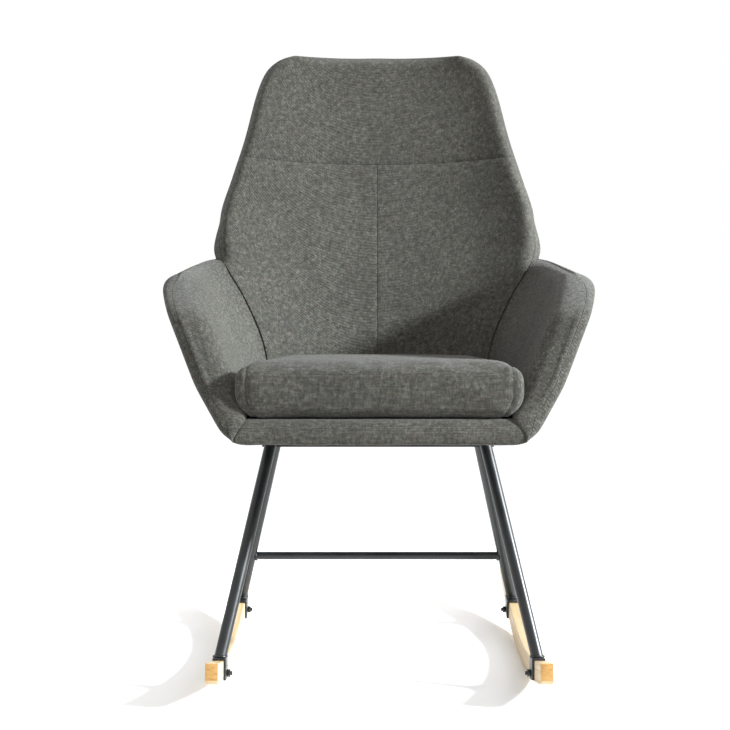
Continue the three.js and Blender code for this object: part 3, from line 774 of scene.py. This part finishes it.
def buildDustCloth(inner):
    look = dustLook
    middle = inner.mean(axis=0)
    outline = middle + (inner - middle) * look["share"]
    outline[:, 1] = np.maximum(outline[:, 1], look["front"])
    obj = loopPanel("dust_cloth", outline, [0.2, 0.6, 0.9, 0.955, 0.965, 1.0, 1.0, 0.9, 0.5, 0.2],
                    [0.9, 0.9, 0.9, 0.85, 0.45, 0.4, 1.6, 1.7, 1.7, 1.7])
    finishPiece(obj, dustCloth("dust_cloth"), "chair", ["dust_cover"])


cushionLook = {
    "low": 36.5, "high": 109.0, "front": -338.0, "rearMiddle": 90.0, "rearCorner": 55.0,
    "frontHalf": 180.0, "frontSpread": 0.42, "rearHalf": 163.0, "rearSpread": 0.13, "spreadTop": 28.0,
    "radii": (20.0, 13.0, 21.0), "cuts": 30,
    "voxel": 0.005, "pressure": 4.0, "frames": 20, "cap": 0.006,
    "sideCap": 4.0, "frontCap": 10.0, "frontReach": 45.0, "fullHalf": 190.0, "backGap": 2.5, "frontOut": 7.0,
    "crown": 3.0, "crownFrom": 95.0, "crownOver": 12.0, "crownDepth": 215.0,
    "ripple": 0.7, "rippleSize": 60, "seamIn": 9.0, "seamDeep": 1.4, "seamWide": 3.0,
    "cloth": {"tension_stiffness": 18, "compression_stiffness": 18, "shear_stiffness": 8,
              "bending_stiffness": 1.5, "quality": 5},
}


def cushionHalf(y, z):
    look = cushionLook
    share = np.clip((y - look["front"]) / (look["rearMiddle"] - look["front"]), 0, 1)
    rise = np.minimum(z - look["low"], look["spreadTop"])
    front = look["frontHalf"] + look["frontSpread"] * rise
    rear = look["rearHalf"] + look["rearSpread"] * rise
    return front + (rear - front) * share


# a rounded block in the shell's millimetres, made from a subdivided cube
def cushionStart():
    look = cushionLook
    bpy.ops.object.select_all(action="DESELECT")
    bpy.ops.mesh.primitive_cube_add(size=2)
    block = bpy.context.object
    bpy.ops.object.mode_set(mode="EDIT")
    bpy.ops.mesh.subdivide(number_cuts=look["cuts"])
    leaveEdit()
    cube = meshPoints(block)
    depth = (look["rearMiddle"] - look["front"]) / 2
    tall = (look["high"] - look["low"]) / 2
    wide = look["frontHalf"]
    half = np.array([wide, depth, tall])
    radii = np.array(look["radii"])
    place = cube * half
    inner = np.clip(place, -(half - radii), half - radii)
    lift = (place - inner) / radii
    size = np.maximum(np.linalg.norm(lift, axis=1, keepdims=True), 1e-9)
    placed = inner + radii * lift / size * np.where(size > 1e-6, 1, 0)
    placed += [0, (look["front"] + look["rearMiddle"]) / 2, (look["low"] + look["high"]) / 2]
    x, y, z = placed[:, 0], placed[:, 1], placed[:, 2]
    rear = np.clip((y - (look["front"] + look["rearMiddle"]) / 2) / depth, 0, 1) ** 2
    y = y - rear * (look["rearMiddle"] - look["rearCorner"]) * (x / wide) ** 2
    x = x / look["frontHalf"] * (cushionHalf(y, z) - 1)
    setPoints(block, np.stack([x, y, z], axis=1) / 1000)
    return block


def buildCushion():
    look = cushionLook
    obj = cushionStart()
    obj.name = obj.data.name = "seat_cushion_cover"
    takeHold(obj)
    mesher = obj.modifiers.new("mesher", "REMESH")
    mesher.mode = "VOXEL"
    mesher.voxel_size = look["voxel"]
    applyModifiers(obj)
    before = meshPoints(obj)
    cloth = obj.modifiers.new("cloth", "CLOTH")
    cloth.settings.use_pressure = True
    cloth.settings.uniform_pressure_force = look["pressure"]
    cloth.settings.effector_weights.gravity = 0
    for setting, value in look["cloth"].items():
        setattr(cloth.settings, setting, value)
    for step in range(1, look["frames"] + 1):
        bpy.context.scene.frame_set(step)
    applyModifiers(obj)
    bpy.context.scene.frame_set(1)
    after = meshPoints(obj)
    move = after - before
    reach = np.linalg.norm(move, axis=1, keepdims=True)
    move *= np.minimum(1, look["cap"] / np.maximum(reach, 1e-9))
    points = (before + move) * 1000
    # it fills its place between the arms; the top crowns, and the arms, back and deck hold the rest
    x, y, z = points[:, 0], points[:, 1], points[:, 2]
    near = np.exp(-np.maximum(y - look["front"], 0) / look["frontReach"])
    cap = look["sideCap"] + look["frontCap"] * near
    x = x * (1 + cap / look["fullHalf"]) / (np.abs(x) / cushionHalf(y, z)).max()
    middleY = (look["front"] + look["rearMiddle"]) / 2
    half = cushionHalf(y, z)
    dome = np.clip(1 - (x / half) ** 2, 0, 1) * np.clip(1 - ((y - middleY) / look["crownDepth"]) ** 2, 0, 1)
    z = z + look["crown"] * dome * np.clip((z - look["crownFrom"]) / look["crownOver"], 0, 1)
    limit = half + cap
    x = np.sign(x) * np.minimum(np.abs(x), limit)
    s = shellSize
    hollow = s["hollow"][0][1] * (np.abs(x) / 170) ** s["hollowPower"]
    y = np.minimum(y, s["backRoot"] - look["backGap"] + s["recline"] * (z - s["railHeight"]) - hollow)
    y = np.maximum(y, look["front"] - look["frontOut"])
    z = np.maximum(z, look["low"])
    uneven = ripple(np.stack([x, y, z], axis=1), look["rippleSize"], 5.5)
    z += look["ripple"] * uneven * np.clip((z - 60) / 30, 0, 1)
    setPoints(obj, np.stack([x, y, z], axis=1) / 1000)
    smooth = obj.modifiers.new("smooth", "SMOOTH")
    smooth.factor, smooth.iterations = 0.5, 6
    finer = obj.modifiers.new("finer", "SUBSURF")
    finer.levels = finer.render_levels = 1
    applyModifiers(obj)
    bpy.ops.object.shade_smooth()
    # end panels: a seam runs round each end of the cushion
    points = meshPoints(obj) * 1000
    edge = np.abs(points[:, 0]) - (cushionHalf(points[:, 1], points[:, 2]) - look["seamIn"])
    normals = meshNormals(obj)
    points -= normals * (look["seamDeep"] * np.exp(-(edge / look["seamWide"]) ** 2))[:, None]
    points[:, 2] = np.maximum(points[:, 2], look["low"] - 0.1)
    setPoints(obj, toWorld(points))
    # seamEnd also places painted shade along the seam in the cloth's colour
    giveAttribute(obj, "seamEnd", edge / 1000)
    obj.data.update()
    finishPiece(obj, woolWeave("grey_weave_cushion", ["seamEnd"]), "cushion", ["seat_cushion"])


rockerLook = {
    "radius": 1400.0, "facet": math.radians(1.25), "inner": 223.5, "width": 19.0, "height": 30.0,
    "front": 330.0, "rear": 408.0, "edge": 4.6, "heel": 8.0, "steps": 96,
    "places": {"front": -215.0, "rear": 226.0}, "boltRise": 11.0,
    "hole": 3.4, "sink": 6.4, "sinkDeep": 3.6, "plateTop": 33.5,
}
arcHeight = rockerLook["radius"] * math.cos(rockerLook["facet"] / 2)
arcCentre = (0.0, shellPlace["baseShift"] / 1000, arcHeight / 1000)


# a point given over the rocker's lowest point, moved along the arc; metres in the chair's frame
def alongRocker(place, x, y, z):
    turn = math.asin(place / rockerLook["radius"])
    reach = rockerLook["radius"] - z
    back = y * math.cos(turn) + reach * math.sin(turn)
    rise = y * math.sin(turn) + arcHeight - reach * math.cos(turn)
    return Vector((x, back + shellPlace["baseShift"], rise)) / 1000


# bevels the edges that pass a test on their two ends and turn by more than an angle
def bevelEdges(obj, test, angle, offset, segments):
    mesh = obj.data
    sides = {}
    for face in mesh.polygons:
        for key in face.edge_keys:
            sides.setdefault(key, []).append(face.normal.copy())
    for part in (mesh.vertices, mesh.edges, mesh.polygons):
        part.foreach_set("select", [False] * len(part))
    for edge in mesh.edges:
        around = sides.get(edge.key, [])
        places = [mesh.vertices[corner].co for corner in edge.vertices]
        if len(around) == 2 and around[0].angle(around[1]) > math.radians(angle) and test(*places):
            edge.select = True
            for corner in edge.vertices:
                mesh.vertices[corner].select = True
    bpy.context.tool_settings.mesh_select_mode = (False, True, False)
    takeHold(obj)
    bpy.ops.object.mode_set(mode="EDIT")
    bpy.ops.mesh.bevel(offset=offset, segments=segments, affect="EDGES", profile=0.5, clamp_overlap=True)
    leaveEdit()
    bpy.context.tool_settings.mesh_select_mode = (True, False, False)


def buildRocker(sideName, sign):
    look = rockerLook
    facet = look["facet"]
    ahead = round(math.asin(look["front"] / look["radius"]) / facet - 0.5) + 0.5
    behind = round(math.asin(look["rear"] / look["radius"]) / facet - 0.5) + 0.5
    top = (look["radius"] - look["height"]) / 1000
    bottom = look["radius"] * math.cos(facet / 2) / 1000  # just above the flats
    low, high = look["inner"] / 1000, (look["inner"] + look["width"]) / 1000
    centre = Vector(arcCentre)
    start = -ahead * facet
    bpy.ops.object.select_all(action="DESELECT")
    bpy.ops.mesh.primitive_plane_add(size=1)
    obj = bpy.context.object
    obj.name = obj.data.name = f"rocker_{sideName}_wood"
    corners = [(low, top), (high, top), (high, bottom), (low, bottom)]
    faceOrder = list(obj.data.polygons[0].vertices)
    for vertex, (x, reach) in zip(faceOrder, corners):
        obj.data.vertices[vertex].co = (x * sign, centre.y + reach * math.sin(start),
                                        centre.z - reach * math.cos(start))
    editAll(obj)
    bpy.ops.mesh.spin(steps=look["steps"], angle=-(ahead + behind) * facet, center=centre, axis=(1, 0, 0))
    leaveEdit()
    # close the start of the sweep
    editAll(obj)
    bpy.ops.mesh.remove_doubles(threshold=1e-6)
    bpy.ops.mesh.fill_holes(sides=8)
    bpy.ops.mesh.normals_make_consistent(inside=False)
    leaveEdit()
    # bolt holes, with a counterbore on the outer side
    outer = look["inner"] + look["width"]
    for place in look["places"].values():
        for fromX, toX, radius in ((look["inner"] - 5, outer + 5, look["hole"]),
                                   (outer - look["sinkDeep"], outer + 5, look["sink"])):
            middle = alongRocker(place, sign * (fromX + toX) / 2, 0, look["boltRise"])
            bpy.ops.object.select_all(action="DESELECT")
            bpy.ops.mesh.primitive_cylinder_add(vertices=40, radius=radius / 1000, depth=(toX - fromX) / 1000,
                                                location=middle, rotation=(0, math.pi / 2, 0))
            drill = bpy.context.object
            hole = obj.modifiers.new("hole", "BOOLEAN")
            hole.operation, hole.solver, hole.object = "DIFFERENCE", "EXACT", drill
            applyModifiers(obj)
            bpy.data.objects.remove(drill)
    # round the heels, then the long edges
    ends = (start, behind * facet)

    def reachOf(place):
        return math.hypot(place.y - centre.y, centre.z - place.z)

    def turnOf(place):
        return math.atan2(place.y - centre.y, centre.z - place.z)

    def isHeel(first, second):
        return all(reachOf(v) > bottom - 1e-4 and min(abs(turnOf(v) - t) for t in ends) < 1e-4
                   for v in (first, second))

    def isLongEdge(first, second):
        for v in (first, second):
            if min(abs(reachOf(v) - top), abs(reachOf(v) - bottom)) > 0.0085:
                return False
            if min(abs(abs(v.x) - low), abs(abs(v.x) - high)) > 1e-5:
                return False
            for place in look["places"].values():
                if (v - alongRocker(place, v.x * 1000, 0, look["boltRise"])).length < 0.0075:
                    return False
        return True
    bevelEdges(obj, isHeel, 60, look["heel"] / 1000, 5)
    bevelEdges(obj, isLongEdge, 60, look["edge"] / 1000, 4)
    # the sawn tips show end grain
    obj.data.materials.clear()
    obj.data.materials.append(beech)
    obj.data.materials.append(beechEnd)
    for face in obj.data.polygons:
        turn = math.atan2(face.center.y - centre.y, centre.z - face.center.z)
        tangent = Vector((0, math.cos(turn), math.sin(turn)))
        if abs(face.normal.dot(tangent)) > 0.9 and min(abs(turn - t) for t in ends) < 0.0035:
            face.material_index = 1
    takeHold(obj)
    bpy.ops.object.shade_smooth_by_angle(angle=math.radians(30))
    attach(obj, "chair")
    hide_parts(f"rocker_{sideName}")
    print("made", obj.name, len(obj.data.polygons), "faces")


legLook = {
    "radius": 9.0, "sides": 56, "tops": {"front": (159.8, -62.0), "rear": (156.0, 50.5)},
    "foot": 229.85, "stretcher": 6.5, "stretcherHeight": 130.0, "plateGap": 4.6,
}
beadLook = {"thick": 1.9, "lumps": 0.45, "around": 72, "ring": 12}


# a round bar between two points, added as a cylinder and turned to its line
def tubePiece(name, start, end, radius, sides):
    axis = end - start
    bpy.ops.object.select_all(action="DESELECT")
    bpy.ops.mesh.primitive_cylinder_add(vertices=sides, radius=radius, depth=axis.length,
                                        location=(start + end) / 2)
    obj = bpy.context.object
    obj.name = obj.data.name = name
    obj.rotation_euler = axis.to_track_quat("Z", "Y").to_euler()
    settle(obj)
    return obj


# takes off what lies beyond a plane and closes the cut
def cutEnd(obj, place, normal):
    editAll(obj)
    bpy.ops.mesh.bisect(plane_co=place, plane_no=normal, use_fill=True, clear_outer=True)
    leaveEdit()


# a lumpy weld bead round a joint
def beadRing(name, centre, axis, radius, seed):
    look = beadLook
    bpy.ops.object.select_all(action="DESELECT")
    bpy.ops.mesh.primitive_torus_add(major_segments=look["around"], minor_segments=look["ring"],
                                     major_radius=radius, minor_radius=look["thick"] / 1000, location=centre)
    obj = bpy.context.object
    obj.name = obj.data.name = name
    obj.rotation_euler = axis.to_track_quat("Z", "Y").to_euler()
    settle(obj)
    points = meshPoints(obj)
    normals = meshNormals(obj)
    lumps = np.array([noise.noise(Vector(p) * 330 + Vector((seed, 0, 0))) for p in points])
    setPoints(obj, points + normals * (lumps * look["lumps"] / 1000)[:, None])
    bpy.ops.object.shade_smooth()
    finishPiece(obj, steel, "chair")


def buildLegs():
    look = legLook
    beads = 0
    for end, (topX, topY) in look["tops"].items():
        place = rockerLook["places"][end]
        for sideName, sign in (("right", 1), ("left", -1)):
            foot = alongRocker(place, sign * look["foot"], 0, rockerLook["plateTop"] + 0.3)
            top = Vector((sign * topX, topY + shellPlace["baseShift"], shellPlace["height"])) / 1000
            line = (top - foot).normalized()
            obj = tubePiece(f"leg_{end}_{sideName}_tube", foot - line * 0.03, top + line * 0.03,
                            look["radius"] / 1000, look["sides"])
            turn = math.asin(place / rockerLook["radius"])
            plateUp = Vector((0, -math.sin(turn), math.cos(turn)))
            cutEnd(obj, foot, -plateUp)
            shellUp = Vector((0, math.sin(shellPlace["tilt"]), math.cos(shellPlace["tilt"])))
            under = Vector(toWorld([0, 0, -look["plateGap"]]))
            cutEnd(obj, under, shellUp)
            takeHold(obj)
            bpy.ops.object.shade_smooth_by_angle(angle=math.radians(40))
            finishPiece(obj, steel, "chair", [f"leg_{end}_{sideName}"])
            beads += 1
            beadRing(f"weld_foot_{end}_{sideName}", foot + plateUp * 0.0012, plateUp,
                     look["radius"] / 1000 + 0.0004, beads * 7.3)
            topPoint = foot + line * ((under - foot).dot(shellUp) / line.dot(shellUp))
            beadRing(f"weld_top_{end}_{sideName}", topPoint - shellUp * 0.0012, shellUp,
                     look["radius"] / 1000 + 0.0006, beads * 3.7)
    foot = alongRocker(rockerLook["places"]["rear"], look["foot"], 0, rockerLook["plateTop"] + 0.3)
    topX, topY = look["tops"]["rear"]
    top = Vector((topX, topY + shellPlace["baseShift"], shellPlace["height"])) / 1000
    share = (look["stretcherHeight"] / 1000 - foot.z) / (top.z - foot.z)
    right = foot.lerp(top, share)
    left = Vector((-right.x, right.y, right.z))
    inwards = Vector((0.0055, 0, 0))
    obj = tubePiece("rear_stretcher_tube", left + inwards, right - inwards,
                    look["stretcher"] / 1000, look["sides"])
    takeHold(obj)
    bpy.ops.object.shade_smooth_by_angle(angle=math.radians(40))
    finishPiece(obj, steel, "chair", ["rear_stretcher"])
    slant = (top - foot).normalized()
    for sideName, spot, sign in (("right", right, 1), ("left", left, -1)):
        centre = spot + Vector((-sign * 0.0088, 0, 0))
        beadRing(f"weld_stretcher_{sideName}", centre, Vector((1, 0, sign * slant.x * 0.3)),
                 look["stretcher"] / 1000 + 0.0003, 41.0 + sign)


def softened(node, suffix, bevel, material):
    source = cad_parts[node]
    obj = bpy.data.objects.new(node + suffix, source.data.copy())
    bpy.context.scene.collection.objects.link(obj)
    editAll(obj)
    bpy.ops.mesh.remove_doubles(threshold=1e-5)
    bpy.ops.mesh.dissolve_limited(angle_limit=math.radians(2))
    bpy.ops.mesh.normals_make_consistent(inside=False)
    leaveEdit()
    edge = obj.modifiers.new("edge", "BEVEL")
    edge.width, edge.segments, edge.limit_method = bevel, 2, "ANGLE"
    edge.angle_limit = math.radians(35)
    applyModifiers(obj)
    bpy.ops.object.shade_smooth_by_angle(angle=math.radians(35))
    finishPiece(obj, material, "chair", [node])


studioLook = {
    "floor": (0.99, 0.99, 0.99), "floorGlow": 0.05, "world": 1.0,
    "key": {"place": (4.33, -1.16, 2.27), "size": 0.5, "power": 26, "colour": (0.9, 0.96, 1.0), "spread": 30},
    "rim": {"place": (2.4, 2.2, 2.3), "size": 1.5, "power": 30, "colour": (1.0, 1.0, 1.0), "spread": 180},
    "aim": (-0.05, 0, 0.42),
}


def buildStudio():
    look = studioLook
    bpy.ops.object.select_all(action="DESELECT")
    bpy.ops.mesh.primitive_plane_add(size=40)
    floor = bpy.context.object
    floor.name = floor.data.name = "floor"
    material, tree, shader = startMaterial("pale_floor")
    cloud = addNoise(tree, (1.2, 1.2, 1.2), 2.0)
    pale = look["floor"]
    shades = [(0.3, tuple(c * 0.99 for c in pale)), (0.7, pale)]
    tree.links.new(ramp(tree, cloud, shades), shader.inputs["Base Color"])
    shader.inputs["Roughness"].default_value = 0.9
    shader.inputs["Emission Color"].default_value = (1, 1, 1, 1)
    shader.inputs["Emission Strength"].default_value = look["floorGlow"]
    floor.data.materials.append(material)
    world = bpy.data.worlds.new("studio")
    bpy.context.scene.world = world
    world.use_nodes = True
    sky = world.node_tree.nodes["Background"]
    sky.inputs["Color"].default_value = (1, 1, 1, 1)
    sky.inputs["Strength"].default_value = look["world"]
    for name in ("key", "rim"):
        part = look[name]
        data = bpy.data.lights.new(name + "_light", "AREA")
        data.size, data.energy, data.color = part["size"], part["power"], part["colour"]
        light = bpy.data.objects.new(name + "_light", data)
        bpy.context.scene.collection.objects.link(light)
        light.location = part["place"]
        data.spread = math.radians(part["spread"])
        aim = Vector(look["aim"]) - light.location
        light.rotation_euler = aim.to_track_quat("-Z", "Y").to_euler()


cameraLook = {"place": (-0.020, -2.6671, 0.629), "tilt": 86.36, "lens": 83.74}


def buildCamera():
    data = bpy.data.cameras.new("view")
    data.sensor_width, data.lens = 36.0, cameraLook["lens"]
    camera = bpy.data.objects.new("view", data)
    bpy.context.scene.collection.objects.link(camera)
    camera.location = cameraLook["place"]
    camera.rotation_euler = (math.radians(cameraLook["tilt"]), 0, 0)
    bpy.context.scene.camera = camera
    bpy.context.scene.view_settings.view_transform = "Standard"


buildCamera()
buildStudio()
print("camera and studio ready")

steel = satinSteel("black_satin_steel")
fastener = satinSteel("black_fastener", {
    "base": (0.018, 0.018, 0.019), "worn": (0.06, 0.06, 0.062), "rough": (0.24, 0.4),
    "peel": 1200, "drift": 60}, 0.5)
beech = beechWood("beech_faces", arcCentre)
beechEnd = beechWood("beech_end_grain", arcCentre, True)
ply = plyWood("birch_ply")
armWeave = woolWeave("grey_weave_arm", ["seamBoxing"], deep=2.6)

for name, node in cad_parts.items():
    if "bolt" in name or "nut" in name or "insert" in name:
        finish = fastener
    elif "frame" in name or name in ("seat_board", "front_rail"):
        finish = ply
    else:
        finish = steel
    node.data.materials.clear()
    node.data.materials.append(finish)
print("frame nodes painted")

buildBack()
buildArm("right", 1)
buildArm("left", -1)
innerLine = buildHem()
buildDeck(innerLine)
buildDustCloth(innerLine)
print("shell upholstered")
buildCushion()
print("cushion filled")
buildRocker("right", 1)
buildRocker("left", -1)
buildLegs()
for end in ("front", "rear"):
    for sideName in ("right", "left"):
        softened(f"rocker_bracket_{end}_{sideName}", "_plate", 0.0007, steel)
        softened(f"rocker_nut_{end}_{sideName}", "_hex", 0.0005, fastener)
        softened(f"rocker_bolt_{end}_{sideName}", "_shank", 0.0003, fastener)
print("rockers, legs and fittings ready")
